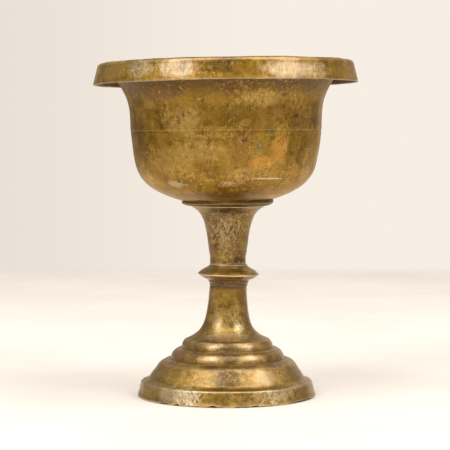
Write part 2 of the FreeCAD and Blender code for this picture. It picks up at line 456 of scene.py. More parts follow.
def baked_oil(p):
    """Colour, roughness, metal and relief of the inside of the bowl: brown oil film with tide lines."""
    large = p.noise(24, shift=2.0, detail=3.0)
    middle = p.noise(5, shift=4.0, detail=5.0, roughness=0.65)
    mottle = p.noise(1.2, shift=8.0, roughness=0.7)
    tide = p.noise(1.0, (40, 40, 3.0), shift=6.0, detail=3.0)
    tone = p.plus(p.times(large, 0.5), middle, 0.5)
    colour = p.mix(p.between(tone, 0.35, 0.60), (0.080, 0.046, 0.014), (0.290, 0.170, 0.048))
    colour = p.mix(p.between(tide, 0.55, 0.68, 0.0, 0.6), colour, GRIME)
    colour = p.shaded(colour, p.between(mottle, 0.25, 0.75, 0.70, 1.25))
    relief = p.plus(p.times(mottle, 0.03), tide, 0.04)
    return colour, p.between(middle, 0.3, 0.7, 0.30, 0.55), p.between(tone, 0.35, 0.60, 0.60, 0.95), relief


def raw_casting(p):
    """The same for the underside of the foot, as it came from the sand mould."""
    sand = p.noise(0.9, shift=3.0, detail=5.0, roughness=0.75)
    lumps = p.noise(7, shift=9.0)
    colour = p.mix(p.between(lumps, 0.35, 0.65), (0.070, 0.048, 0.020), (0.190, 0.118, 0.042))
    colour = p.mix(p.between(p.noise(11, shift=14.0), 0.58, 0.72, 0.0, 0.55), colour, VERDIGRIS)
    colour = p.shaded(colour, p.between(sand, 0.25, 0.75, 0.60, 1.30))
    relief = p.plus(p.times(sand, 0.16), lumps, 0.35)
    return colour, p.between(sand, 0.3, 0.7, 0.55, 0.80), p.between(lumps, 0.35, 0.65, 0.60, 0.88), relief


def aged_brass(name, spots=(), scored=(), drag="round", dark=1.0, grit=1.0, film_over=0.85,
               rough_by=0.0, seed=0.0, inside=None):
    """Old hand-rubbed brass: patchy patina, bare worn edges, dirt in the creases, scratches and pits.

    spots and scored are tables like BOWL_STAINS_AND_PAINTED_LIGHT and BOWL_SCRATCHES. The surface was rubbed round or up.
    dark scales the colour and grit the grain, film_over is the pale film, rough_by is added to roughness,
    and inside is the rule for inner faces."""
    p = Paint(name)
    # patina in large patches, with olive, golden and tan areas
    large = p.noise(26, shift=seed, detail=3.0, roughness=0.5, distortion=0.4)
    middle = p.noise(6.5, shift=seed + 3, detail=5.0, roughness=0.62)
    mottle = p.noise(2.0, shift=seed + 7)
    fine = p.noise(0.6, shift=seed + 9, detail=3.0, roughness=0.7)
    tone = p.plus(p.times(large, 0.4), middle, 0.6)
    colour = p.mix(p.between(tone, 0.37, 0.51), OLIVE, GOLD)
    colour = p.mix(p.between(tone, 0.50, 0.64), colour, TAN)
    red = p.between(p.noise(17, shift=seed + 11), 0.50, 0.68, 0.0, 0.75)
    colour = p.mix(red, colour, REDDISH)
    # brown film in sheltered places: partly dirt, partly painted shade under the lip, under the knop and in
    # its joint
    film = p.plus(p.attribute("shade"), p.minus(middle, 0.5), 0.9)
    film = p.between(film, 0.20, 0.90)
    colour = p.mix(p.times(film, 0.80), colour, BROWN)
    # placed stains; the tables also hold painted highlights and painted shade, marked there
    for kind, amount, place in spots:
        colour = p.mix(p.times(p.spot(*place), amount), colour, kind)
    # rubbed grain: along the turning for the bowl and foot, up and down for the stem
    along = (7, 7, 0.5) if drag == "round" else (0.6, 0.6, 7)
    across = (0.7, 0.7, 6) if drag == "round" else (5, 5, 0.7)
    grain = p.noise(0.9, along, shift=seed + 17, roughness=0.65, distortion=0.3)
    drips = p.noise(1.1, across, shift=seed + 19, roughness=0.65, distortion=0.3)
    rugged = p.between(p.noise(11, shift=seed + 43, detail=3.0), 0.36, 0.62, 0.35 * grit, 1.45 * grit)
    for layer, depth in ((mottle, 0.14), (fine, 0.10), (grain, 0.13), (drips, 0.18)):
        change = p.times(p.between(layer, 0.30, 0.70, -depth, depth), rugged)
        colour = p.shaded(colour, p.plus(change, 1.0))
    both = p.plus(p.times(mottle, 0.5), p.noise(0.9, shift=seed + 47), 0.5)
    colour = p.mix(p.times(p.between(both, 0.52, 0.64, 0.0, 0.32), rugged), colour, RUBBED)
    colour = p.mix(p.times(p.between(both, 0.48, 0.36, 0.0, 0.50), rugged), colour, SOOTY)
    # dark pits and specks
    pit = p.between(p.cells(1.9, shift=seed + 5), 0.12, 0.24, 1.0, 0.0)
    pit = p.times(pit, p.between(p.noise(8, shift=seed + 23), 0.48, 0.60))
    colour = p.mix(p.times(pit, 0.75), colour, GRIME)
    # bright specks and short scratches, thin everywhere and dense in the scored places
    speck = p.between(p.cells(1.3, shift=seed + 29), 0.10, 0.26, 1.0, 0.0)
    one = p.between(p.cells(2.0, (0.45, 0.45, 2.0), shift=seed + 31), 0.06, 0.26, 1.0, 0.0)
    two = p.between(p.cells(1.9, (1.6, 1.6, 0.35), shift=seed + 37), 0.06, 0.24, 1.0, 0.0)
    scratch = p.larger(one, p.times(two, 0.8))
    area = p.between(p.noise(12, shift=seed + 41), 0.47, 0.62, 0.0, 0.30)
    fleck = p.larger(scratch, p.times(speck, 0.7))
    scratch = p.times(fleck, area)
    for lines, flecks, cover, size, leans, place in scored:
        spot = p.spot(*place)
        scratch = p.larger(scratch, p.times(fleck, p.times(spot, flecks)))
        spot = p.times(spot, lines)
        for lean in leans:
            stroke = p.between(p.strokes(*size, lean, shift=seed + lean), 0.62 - 0.08 * cover, 0.66)
            scratch = p.larger(scratch, p.times(stroke, spot))
        gap = p.between(p.strokes(0.70, 4.0, leans[0], shift=seed + 51), 0.64 - 0.08 * cover, 0.69)
        colour = p.mix(p.times(p.times(gap, spot), 0.65), colour, GRIME)
    bright = p.mix(p.between(fine, 0.40, 0.60), RUBBED, BARE_AND_HIGHLIGHT)
    colour = p.mix(p.times(scratch, 0.90), colour, bright)
    rough = p.between(middle, 0.3, 0.7, 0.44 + rough_by, 0.56 + rough_by)
    for layer, share in ((mottle, 0.30), (grain, 0.25)):
        rough = p.plus(rough, p.minus(layer, 0.5), share)
    rough = p.plus(rough, film, 0.15)
    metal = p.between(mottle, 0.3, 0.7, 0.86, 0.98)
    metal = p.minus(metal, film, 0.10)
    relief = p.times(grain, 0.010)
    for layer, height in ((mottle, 0.035), (middle, 0.06), (fine, 0.020)):
        relief = p.plus(relief, layer, height)
    relief = p.minus(relief, p.plus(pit, scratch), 0.05)
    if dark != 1.0:
        colour = p.mix(1.0, colour, (dark, dark, dark), "MULTIPLY")
    if inside:
        loose = p.times(p.minus(middle, 0.5), 0.8)
        inner = p.between(p.plus(p.attribute("inner"), loose), 0.35, 0.65)
        other = inside(p)
        colour = p.mix(inner, colour, other[0])
        outer = (rough, metal, relief)
        rough, metal, relief = (p.blend(inner, own, new) for own, new in zip(outer, other[1:]))
    # creases hold dirt, edges are worn bare
    bend = p.attribute("wear")
    loose = p.times(p.minus(p.plus(middle, fine), 1.0), 1.6)
    crease = p.between(p.plus(p.times(bend, -1.0), loose, 0.4), 0.22, 1.20)
    colour = p.mix(p.times(crease, 0.80), colour, SOOTY)
    rubbed = p.between(p.plus(bend, loose, 0.15), 0.03, 0.35)
    colour = p.mix(p.times(rubbed, 0.20), colour, ROSY)
    worn = p.between(p.plus(bend, loose), 0.75, 2.20)
    colour = p.mix(p.times(worn, 0.85), colour, BARE_AND_HIGHLIGHT)
    rough = p.plus(rough, crease, 0.25)
    rough = p.minus(rough, worn, 0.10)
    metal = p.minus(metal, crease, 0.5)
    # a thin dry film over the metal, which turns the highlights pale
    for name, value in (("Coat Weight", film_over), ("Coat Roughness", 0.30), ("Coat IOR", 1.50),
                        ("Specular Tint", EDGE_ON)):
        p.shader.inputs[name].default_value = value
    normal = p.bump(relief, 1.0)
    p.feed(p.shader.inputs["Coat Normal"], normal)
    return p.finish(colour, rough, metal, normal)


def old_steel(name):
    """Mild steel gone dull, with a little rust."""
    p = Paint(name)
    film = p.noise(3.2, shift=1.0, detail=5.0, roughness=0.65)
    grain = p.noise(0.5, (5, 5, 0.6), shift=5.0, detail=3.0)
    rust = p.between(p.noise(4.5, shift=12.0, detail=5.0, roughness=0.7), 0.50, 0.66)
    colour = p.mix(p.between(film, 0.35, 0.65), (0.130, 0.120, 0.110), (0.330, 0.315, 0.295))
    colour = p.mix(p.times(rust, 0.85), colour, (0.150, 0.055, 0.020))
    worn = p.between(p.plus(p.attribute("wear"), p.minus(film, 0.5)), 0.5, 1.2)
    colour = p.mix(p.times(worn, 0.6), colour, (0.560, 0.540, 0.510))
    rough = p.plus(p.between(film, 0.3, 0.7, 0.34, 0.50), rust, 0.35)
    metal = p.minus(1.0, rust, 0.85)
    normal = p.bump(grain, 0.015)
    normal = p.bump(rust, 0.05, normal)
    return p.finish(colour, rough, metal, normal)


def turned_brass(name):
    """Brass fittings inside the bowl, dulled by oil."""
    p = Paint(name)
    film = p.noise(4.0, shift=21.0, detail=5.0)
    rings = p.noise(0.35, (30, 30, 1.0), shift=2.0, detail=3.0)
    colour = p.mix(p.between(film, 0.35, 0.65), (0.200, 0.120, 0.030), (0.480, 0.315, 0.095))
    colour = p.shaded(colour, p.between(rings, 0.3, 0.7, 0.80, 1.15))
    bend = p.attribute("wear")
    crease = p.between(p.times(bend, -1.0), 0.15, 0.8)
    colour = p.mix(p.times(crease, 0.85), colour, GRIME)
    worn = p.between(p.plus(bend, p.minus(film, 0.5)), 0.5, 1.2, 0.0, 0.8)
    colour = p.mix(worn, colour, BARE_AND_HIGHLIGHT)
    rough = p.between(film, 0.3, 0.7, 0.26, 0.44)
    metal = p.minus(1.0, crease, 0.5)
    return p.finish(colour, rough, metal, p.bump(rings, 0.02))


def oiled_leather(name):
    """A leather ring darkened by oil."""
    p = Paint(name)
    grain = p.cells(0.55, shift=3.0)
    film = p.noise(3.0, shift=7.0)
    colour = p.mix(p.between(film, 0.3, 0.7), (0.040, 0.020, 0.010), (0.115, 0.060, 0.028))
    colour = p.shaded(colour, p.between(grain, 0.1, 0.6, 1.15, 0.70))
    rough = p.between(film, 0.3, 0.7, 0.45, 0.70)
    return p.finish(colour, rough, 0.0, p.bump(grain, -0.05))


def pale_ground(name, half_width, depth, fade):
    """A pale painted board that ends softly at its sides and towards the back."""
    p = Paint(name)
    paint = p.noise(120, detail=5.0, roughness=0.55)
    tooth = p.noise(6, shift=3.0)
    colour = p.mix(p.between(paint, 0.35, 0.65), (0.700, 0.660, 0.612), (0.732, 0.697, 0.654))
    material = p.finish(colour, p.between(tooth, 0.3, 0.7, 0.75, 0.9), 0.0, p.bump(tooth, 0.12))
    split = p.add("ShaderNodeSeparateXYZ")
    p.feed(split.inputs[0], p.place)
    back = p.between(split.outputs["Y"], (depth - fade) / MM, depth / MM, 1.0, 0.0)
    off_centre = p.calculate("ABSOLUTE", split.outputs["X"])
    side = p.between(off_centre, (half_width - fade) / MM, half_width / MM, 1.0, 0.0)
    p.feed(p.shader.inputs["Alpha"], p.times(back, side))
    return material


# ------------------------ the castings

BASE_RADIUS = reach("foot")
STEM_TOP = low("upper_stem") - 11.0
KNOP_TOP = low("upper_stem")
TRUMPET_TOP = low("bowl_collar")
COLLAR_TOP = low("bowl")
LAMP_TOP = high("bowl")
SKIRT_EDGE = LAMP_TOP - 10.7
SKIRT_RADIUS = reach("bowl")
ROD_PASSAGE = 4.3  # radius of the hole for the rod
SPIGOT = 6.4  # radius of the knop's spigots
SPIGOT_LENGTH = 3.6
SOCKET_DEPTH = 4.0  # depth of the sockets for them
SOCKET = SPIGOT + 0.1
FOOT_WALL = 3.2
BOWL_WALL = 2.0
BOWL_RADIUS = 47.4
BOWL_TILT = 0.9  # degrees, at the bowl's floor and for the fittings that stand on it
FLARE_ARC = 31.5  # radius of the arc under the lip
FLARE_ROOT = 47.75  # radius of the bowl where the arc starts
FLARE_START = 138.6  # height of the same place
LINE_HEIGHT = 132.2  # height of the lower incised line


def by_height(heights, amounts):
    """A function of height that runs straight between the given amounts."""
    return lambda z: np.interp(z, heights, amounts)


# how far the old lamp's axis has moved to the right, in millimetres
lean_of = by_height((0, 10, 24, 31, 54, 60, 66, 94, 100, 125, 150, 166),
                    (0.0, 0.15, 0.35, 0.25, 0.85, 0.95, 0.75, 0.70, -0.10, -0.20, -0.35, -0.40))


def flare(degrees, inset):
    """A point on the lip's flare, moved inwards by the thickness of the metal."""
    distance = FLARE_ARC + inset
    angle = math.radians(degrees)
    return FLARE_ROOT + FLARE_ARC - distance * math.cos(angle), FLARE_START + distance * math.sin(angle)


def past_top(ramp):
    """The inner face of an outline: 0 up to its highest point, then rising to 1 over ramp millimetres."""
    def inner(line):
        walked = np.cumsum(np.hypot(*np.diff(line, axis=0, prepend=line[:1]).T))
        return np.clip((walked - walked[line[:, 1].argmax()]) / ramp, 0, 1)
    return inner


def near(height, spread):
    """1 at the given height, fading to 0 over spread millimetres above and below it."""
    return lambda line: np.clip(1.0 - np.abs(line[:, 1] - height) / spread, 0, 1)


def make_foot():
    inner_edge = (BASE_RADIUS - FOOT_WALL, 0)
    outline = Outline(*inner_edge)
    outline.lines((BASE_RADIUS - 0.4, 0), (BASE_RADIUS, 0.4))
    outline.curve((43.9, 2.6), (43.3, 5.0), (42.7, 7.2))
    outline.lines((42.4, 7.5), (40.6, 8.1))
    outline.curve((39.2, 9.0), (37.9, 10.9), (36.0, 13.6), (33.7, 16.8), (30.4, 18.6))
    outline.line(28.6, 18.8)
    outline.curve((28.1, 20.6), (26.7, 22.6), (24.7, 23.9))
    outline.line(23.0, 24.2)
    outline.curve((22.8, 25.3), (22.3, 26.7), (21.2, 28.2))
    outline.curve((17.0, 30.2), (13.0, 34.0), (10.6, 41.8), (9.6, 49.9), (9.2, STEM_TOP))
    socket_floor = STEM_TOP - SOCKET_DEPTH
    outline.lines((SOCKET, STEM_TOP), (SOCKET, socket_floor), (ROD_PASSAGE, socket_floor))
    outline.lines((ROD_PASSAGE, high("foot_washer")), (11.0, high("foot_washer")))
    outline.curve((14.5, 25.5), (18.0, 22.9))
    outline.curve((24.0, 19.7), (29.0, 15.5), (32.6, 10.9))
    outline.curve((34.9, 7.5), (39.9, 4.6), inner_edge)
    # a little more wear on the step above the base band, and hardly any in the joint at the top
    calm = by_height((5, 6.5, 9, 10, STEM_TOP - 1.6, STEM_TOP - 1.5), (1, 1.1, 1.1, 1, 1, 0.1))
    # the shade mark paints shade, as a brown film, in the joint under the knop
    piece = turn("foot_casting", outline.closed(0.22), 330, 280, inner=past_top(1.0), calm=calm,
                 shade=near(STEM_TOP, 2.5))
    dent(piece, 9.0, 0.07, 11)
    dent(piece, 30.0, 0.12, 12)
    chip_base(piece)
    settle(piece, lean_of, lambda z: 0.2 * z / STEM_TOP)
    return piece


def chip_base(piece):
    """Nicks and worn stretches along the foot's lower edge."""
    places = places_of(piece)
    around = np.column_stack([places[:, :2], np.zeros(len(places))])
    around *= (BASE_RADIUS / np.maximum(np.hypot(*places[:, :2].T), 1.0))[:, None]
    edge = np.clip(1.0 - places[:, 2] / 1.6, 0, 1) * (np.hypot(*places[:, :2].T) > BASE_RADIUS - 3.0)
    nick = np.clip(waves(around, 7.0, 21) - 0.25, 0, 1) + 0.7 * np.clip(waves(around, 2.6, 22) - 0.35, 0, 1)
    angle = np.degrees(np.arctan2(places[:, 0], -places[:, 1]))
    # nicks seen from the front: middle and half width in degrees, depth
    for middle, half, depth in ((58, 14, 1.6), (-44, 3, 1.5), (-33, 2, 1.3), (-9, 1.5, 1.0), (12, 2, 1.0)):
        nick += depth * np.exp(-((angle - middle) / half) ** 4)
    places[:, 2] += 0.5 * nick * edge
    places[:, :2] *= (1 - 0.003 * nick * edge)[:, None]
    places[:, 2] = np.maximum(places[:, 2], 0.01)
    move_to(piece, places)


def make_knop():
    edge = STEM_TOP + 5.75
    bottom, top = STEM_TOP - SPIGOT_LENGTH, KNOP_TOP + SPIGOT_LENGTH
    outline = Outline(ROD_PASSAGE, bottom)
    outline.lines((SPIGOT, bottom), (SPIGOT, STEM_TOP), (9.5, STEM_TOP), (9.5, STEM_TOP + 1.4))
    outline.lines((10.0, STEM_TOP + 1.9), (10.0, STEM_TOP + 2.9))
    outline.curve((12.5, STEM_TOP + 3.8), (14.6, STEM_TOP + 5.1), (reach("knop"), edge - 0.15))
    outline.line(reach("knop"), edge + 0.15)
    outline.curve((13.7, edge + 1.7), (11.2, edge + 3.2), (9.4, KNOP_TOP - 0.9))
    outline.lines((9.5, KNOP_TOP - 0.1), (SPIGOT, KNOP_TOP), (SPIGOT, top), (ROD_PASSAGE, top))
    # the shade mark paints shade, as a brown film, under the knop's edge
    piece = turn("knop_ring", outline.closed(0.14), 190, 220, shade=near(STEM_TOP + 1.5, 4.6),
                 calm=lambda z: np.where(z < STEM_TOP + 3.0, 0.1, 1.0))
    return aged(piece, ((5.0, 0.05, 31),), 1.0, -1.1)


def make_upper_stem():
    socket_roof = KNOP_TOP + SOCKET_DEPTH
    outline = Outline(ROD_PASSAGE, socket_roof)
    outline.lines((SOCKET, socket_roof), (SOCKET, KNOP_TOP), (8.95, KNOP_TOP))
    outline.line(8.95, KNOP_TOP + 3.2)
    thin_edge = (reach("upper_stem") - 0.1, TRUMPET_TOP - 0.3)
    outline.curve((9.75, 74.7), (10.9, 82.9), (12.7, 88.9), (15.3, 92.8), thin_edge)
    outline.lines((reach("upper_stem"), TRUMPET_TOP), (ROD_PASSAGE, TRUMPET_TOP))
    piece = turn("trumpet_stem", outline.closed(0.14), 220, 220, calm=0.7)
    return aged(piece, ((7.0, 0.06, 41),), lean_of, 0.0)


def make_collar():
    edge = reach("bowl_collar")
    outline = Outline(ROD_PASSAGE, TRUMPET_TOP)
    outline.line(18.6, TRUMPET_TOP)
    outline.curve((21.3, TRUMPET_TOP + 0.5), (edge - 0.2, TRUMPET_TOP + 1.3))
    outline.lines((edge, TRUMPET_TOP + 1.55), (edge - 0.15, COLLAR_TOP + 0.75), (21.9, COLLAR_TOP + 0.95))
    outline.lines((19.6, COLLAR_TOP), (ROD_PASSAGE, COLLAR_TOP))
    piece = turn("collar_plate", outline.closed(0.16), 150, 260, calm=0.35)
    return aged(piece, ((8.0, 0.10, 51),), 0.6, by_height((TRUMPET_TOP, COLLAR_TOP), (0.0, BOWL_TILT)))


def incised_line(outline, radius, height):
    outline.lines((radius, height - 0.25), (radius - 0.11, height), (radius, height + 0.25))


def under_lip(line):
    """1 where the flare and the skirt's inside are sheltered by the lip, 0 elsewhere."""
    before_edge = np.arange(len(line)) < line[:, 0].argmax()
    return before_edge * np.clip((line[:, 1] - 144.0) / 13.0, 0, 1)


def make_bowl():
    outline = Outline(ROD_PASSAGE, COLLAR_TOP)
    outline.line(19.5, COLLAR_TOP)
    outline.curve((30.6, 100.8), (38.4, 105.3), (43.3, 111.1), (45.8, 119.5),
                  (BOWL_RADIUS, LINE_HEIGHT - 1.0))
    incised_line(outline, BOWL_RADIUS, LINE_HEIGHT)
    incised_line(outline, BOWL_RADIUS + 0.2, LINE_HEIGHT + 1.1)
    outline.line(*flare(0, 0))
    outline.curve(flare(12, 0), flare(25, 0), flare(37, 0), flare(48, 0))
    outline.curve((60.1, LAMP_TOP - 2.4), (61.6, LAMP_TOP - 1.7), (62.6, LAMP_TOP - 2.7))
    outline.lines((SKIRT_RADIUS - 1.3, SKIRT_EDGE + 0.2), (SKIRT_RADIUS - 1.0, SKIRT_EDGE))
    outline.lines((SKIRT_RADIUS - 0.2, SKIRT_EDGE), (SKIRT_RADIUS, SKIRT_EDGE + 0.3), (64.0, LAMP_TOP - 2.7))
    outline.curve((63.5, LAMP_TOP - 1.0), (62.5, LAMP_TOP - 0.2), (61.5, LAMP_TOP))
    outline.curve((59.4, LAMP_TOP - 0.9), flare(48, 1.6))
    outline.curve(flare(37, 1.6), flare(25, 1.7), flare(12, 1.8), flare(0, 1.9))
    outline.line(BOWL_RADIUS - BOWL_WALL, LINE_HEIGHT)
    outline.curve((43.7, 119.7), (41.4, 112.1), (37.0, 106.8), (29.8, 102.8), (19.5, COLLAR_TOP + BOWL_WALL))
    outline.line(ROD_PASSAGE, COLLAR_TOP + BOWL_WALL)
    # faint wear at the incised lines, and less along the lip
    calm = by_height((LINE_HEIGHT - 1.1, LINE_HEIGHT - 1.0, LINE_HEIGHT + 2.0, LINE_HEIGHT + 2.1,
                      SKIRT_EDGE - 1.0, SKIRT_EDGE, LAMP_TOP - 4.0, LAMP_TOP - 3.0),
                     (1.0, 0.15, 0.15, 1.0, 1.0, 0.6, 0.6, 0.5))
    # under_lip lays a brown film under the lip and inside the skirt: painted shade, with some dirt
    piece = turn("bowl_shell", outline.closed(0.12), 330, 290, inner=past_top(9.0), shade=under_lip,
                 calm=calm)
    tilt = by_height((97, 101, 132, 156, 167), (BOWL_TILT, 0.6, 0.4, 0.79, 0.85))
    return aged(piece, ((11.0, 0.05, 61), (38.0, 0.09, 62)), lean_of, tilt)


# ------------------------ the hidden clamp and the wick socket

ROD_RADIUS = 4.0
THREAD_PITCH = 1.25
NUT_FLATS = 13.0
NUT_CORNER = NUT_FLATS / 2 / math.cos(math.pi / 6)
NUT_BORE = 4.05
NUT_BEVEL = 0.55
SEAL_HOLE = 4.1
WASHER_HOLE = 4.25
WICK_BORE = 2.5


def thread(radius, height, angle):
    """Cuts a screw thread into every face that stands at the rod's radius."""
    phase = (height / THREAD_PITCH - angle / (2 * math.pi)) % 1.0
    groove = 0.62 * np.clip(np.abs(phase - 0.5) * 2.4 - 0.2, 0, 1)
    return radius - groove * np.clip((radius - ROD_RADIUS + 1.0) / 0.6, 0, 1), height


def flats(radius, height, angle):
    """Pares a turned blank down to a hexagon with slightly rounded corners."""
    off = (angle + math.pi / 6) % (math.pi / 3) - math.pi / 6
    side = NUT_FLATS / 2 / np.cos((angle % (math.pi / 3)) - math.pi / 6)
    side = np.minimum(side, NUT_CORNER - 0.12 + 0.5 * off ** 2)
    return np.minimum(radius, side), height


def make_rod():
    bottom, top = low("tie_rod"), high("tie_rod")
    outline = Outline(0, bottom + 0.4)
    outline.lines((1.0, bottom), (ROD_RADIUS - 0.8, bottom), (ROD_RADIUS, bottom + 0.8))
    outline.lines((ROD_RADIUS, top - 0.8), (ROD_RADIUS - 0.8, top), (1.0, top), (0, top - 0.4))
    piece = turn("clamp_rod", outline.to_axis(0.08), 640, 60, form=thread, joined=False, ease=2.0)
    return aged(piece, (), lean_of, 0.0)


def make_washer(node, name, tilt, seed):
    """A punched washer, rolled over on the upper edge."""
    bottom, top = low(node), high(node)
    outer = reach(node)
    outline = Outline(WASHER_HOLE, bottom + 0.1)
    outline.lines((WASHER_HOLE + 0.15, bottom), (outer - 0.1, bottom), (outer, bottom + 0.15))
    outline.curve((outer - 0.02, top - 0.4), (outer - 0.15, top - 0.12), (outer - 0.45, top))
    outline.lines((WASHER_HOLE + 0.35, top), (WASHER_HOLE, top - 0.3))
    piece = turn(name, outline.closed(0.05), 90, 150)
    return aged(piece, ((5.0, 0.025, seed),), lean_of, tilt)


def make_seal():
    """A leather ring squeezed outwards by the washer above it."""
    bottom, top = low("floor_seal"), high("floor_seal")
    outer = reach("floor_seal")
    outline = Outline(SEAL_HOLE, bottom)
    outline.line(outer - 0.45, bottom)
    outline.curve((outer - 0.05, bottom + 0.25), (outer, bottom + 0.5), (outer - 0.05, top - 0.2),
                  (outer - 0.4, top))
    outline.line(SEAL_HOLE, top)
    piece = turn("seal_ring", outline.closed(0.06), 90, 150)
    return aged(piece, ((2.5, 0.05, 71),), lean_of, BOWL_TILT)


def make_foot_nut():
    bottom, top = low("foot_nut"), high("foot_nut")
    outline = Outline(NUT_BORE, bottom + 0.6)
    outline.lines((4.6, bottom), (NUT_FLATS / 2, bottom), (NUT_CORNER, bottom + NUT_BEVEL))
    outline.lines((NUT_CORNER, top - NUT_BEVEL), (NUT_FLATS / 2, top), (4.6, top), (NUT_BORE, top - 0.6))
    piece = turn("clamp_nut", outline.closed(0.07), 150, 240, form=flats)
    return aged(piece, ((4.0, 0.04, 81),), lean_of, 0.0)


def make_wick_nut():
    """A nut with a blind bore for the rod below, and one for the foot of a wick above."""
    bottom, top = low("wick_nut"), high("wick_nut")
    shoulder, bore_end, wick_end = bottom + 7.0, bottom + 5.6, top - 8.0
    outline = Outline(0, bore_end)
    outline.lines((NUT_BORE, bore_end), (NUT_BORE, bottom + 0.5), (4.5, bottom), (NUT_FLATS / 2, bottom))
    outline.lines((NUT_CORNER, bottom + NUT_BEVEL), (NUT_CORNER, shoulder - NUT_BEVEL))
    outline.lines((NUT_FLATS / 2, shoulder), (4.6, shoulder))
    outline.curve((4.45, shoulder + 0.4), (4.2, shoulder + 1.2))
    outline.lines((4.2, top - 0.5), (3.7, top), (2.7, top), (WICK_BORE, top - 0.3))
    outline.lines((WICK_BORE, wick_end), (0, wick_end))
    piece = turn("wick_holder", outline.to_axis(0.06), 230, 240, form=flats, joined=False)
    return aged(piece, ((5.0, 0.03, 91),), lean_of, BOWL_TILT)


# ------------------------ the lamp put together

# Stains are (colour, amount, place). Entries marked below are painted highlights or painted shade instead,
# some along with wear. A place is (angle from the front in degrees, radius, height,
# half width, half height), in millimetres; a sixth number says how ragged it is.
BOWL_STAINS_AND_PAINTED_LIGHT = (
    (BROWN, 0.5, (-64, 47, 126.9, 11, 14)),
    # this entry and the next: brown stain and painted shade under the lip
    (BROWN, 0.6, (-38, 52, 151.9, 18, 6)),
    (BROWN, 0.55, (-62, 50, 148.9, 10, 7)),
    (REDDISH, 0.5, (-40, 48, 148.9, 12, 6)),
    (REDDISH, 0.45, (30, 47, 143.9, 13, 5)),
    (BROWN, 0.4, (66, 48, 140.9, 8, 9)),
    (BROWN, 0.3, (50, 47, 122.9, 5, 9)),
    (TAN, 0.35, (52, 47.5, 136.4, 8, 7)),
    (OLIVE, 0.5, (4, 47, 138.9, 13, 8)),
    (TAN, 0.55, (-50, 48.5, 144.4, 6, 2.2)),
    (TAN, 0.65, (-27, 47.6, 136.9, 12, 8.5)),
    (TAN, 0.8, (-21, 47.6, 136.9, 5, 3)),
    (TAN, 0.55, (11, 47.6, 135.9, 3.5, 2.5)),
    (TAN, 0.5, (-18, 46.8, 122.9, 13, 7)),
    (TAN, 0.4, (14, 44, 111.9, 14, 4)),
    (TAN, 0.6, (20, 50, 147.4, 12, 5)),
    (BROWN, 0.5, (-11, 47.6, 135.9, 3, 2.2)),
    (BROWN, 0.6, (10, 47, 127.4, 2, 1.2)),
    (BROWN, 0.55, (34, 50, 149.4, 1.8, 1.4)),
    (BROWN, 0.6, (45, 48, 139.7, 1.8, 1.4)),
    (ORANGE, 0.9, (33, 47, 123.4, 6.2, 8.5)),
    (ORANGE, 0.7, (22, 46, 116.9, 8, 4.5)),
    (TAN, 0.55, (62, 45, 117.9, 7, 13)),
    (TAN, 0.4, (-34, 46, 117.9, 14, 9)),
    (VERDIGRIS, 0.7, (26, 47.4, 131.7, 3.6, 1.4)),
    (VERDIGRIS, 0.45, (20, 47, 124.4, 3, 3.6)),
    (VERDIGRIS, 0.75, (2, 57, 156.7, 2.2, 2)),
    (REDDISH, 0.85, (-9.5, 52, 151.3, 3, 2.4)),
    (GOLD, 0.9, (-9.5, 52, 151.3, 1.7, 1.3)),
    # a painted glint along the bowl's lower curve, also a worn line
    (BARE_AND_HIGHLIGHT, 0.6, (29, 43, 109.4, 12, 0.5, 1.1)),
    (BROWN, 0.5, (0, 31, 101.4, 24, 2.2)),
    # this entry and the next: painted glints on the lower curve, also worn lines
    (BARE_AND_HIGHLIGHT, 0.35, (-37, 40, 106.6, 6, 2.2, 1.5)),
    (BARE_AND_HIGHLIGHT, 0.25, (2, 40, 106.9, 6, 1.8, 1.6)),
    (TAN, 0.8, (-58, 64, 161.4, 22, 6)),
    (BARE_AND_HIGHLIGHT, 0.4, (-39, 64, 161.4, 9, 5.5)),
    (BROWN, 0.4, (-67, 65, 162.4, 4, 6)),
    (BARE_AND_HIGHLIGHT, 0.3, (-78, 65, 160.9, 4, 5)),
    (TAN, 0.6, (62, 64, 160.9, 14, 6)),
    # this entry and the next two: painted highlights, pale where the two lights are mirrored in the skirt
    (ROSY, 0.42, (-21, 64, 161.4, 12, 5.5)),
    (ROSY, 0.4, (28, 64, 160.9, 17, 5.5)),
    (BARE_AND_HIGHLIGHT, 0.25, (42, 64, 160.9, 8, 5.5)),
    (SLATE, 0.45, (-18, 64, 161.9, 2, 5)),
    # painted shade between the skirt's two highlights
    (OLIVE, 0.6, (4, 64, 160.9, 8, 6)),
    (GRIME, 0.8, (32.5, 64, 159.9, 0.9, 0.8)),
    # painted shade between the skirt's two highlights
    (BROWN, 0.65, (-4, 64, 161.9, 12, 4.5)),
)
STEM_STAINS = (
    (SLATE, 0.75, (-30, 14, 92.4, 3.6, 1.8)),
    (BROWN, 0.8, (6, 15, 92.9, 9, 3)),
    (BROWN, 0.55, (38, 9.5, 69.9, 5, 3.5)),
    (REDDISH, 0.55, (25, 9.5, 74.9, 4, 5)),
)
KNOP_STAINS_AND_PAINTED_LIGHT = (
    (TAN, 0.5, (-14, 12.5, 62.8, 7, 2)),
    # this entry and the next: painted highlights on the neck, with some wear
    (BARE_AND_HIGHLIGHT, 0.55, (-14, 9.6, 65.4, 3.5, 0.9)),
    (BARE_AND_HIGHLIGHT, 0.5, (18, 9.8, 64.8, 4, 1)),
    (ORANGE, 0.8, (50, 13.5, 62.3, 3, 1.4)),
)
COLLAR_STAINS = (
    (GRIME, 0.7, (50, 22, 96.4, 20, 3)),
    (GRIME, 0.45, (-50, 22, 96.4, 20, 3)),
    (REDDISH, 0.6, (3, 22, 96.4, 5, 2)),
)
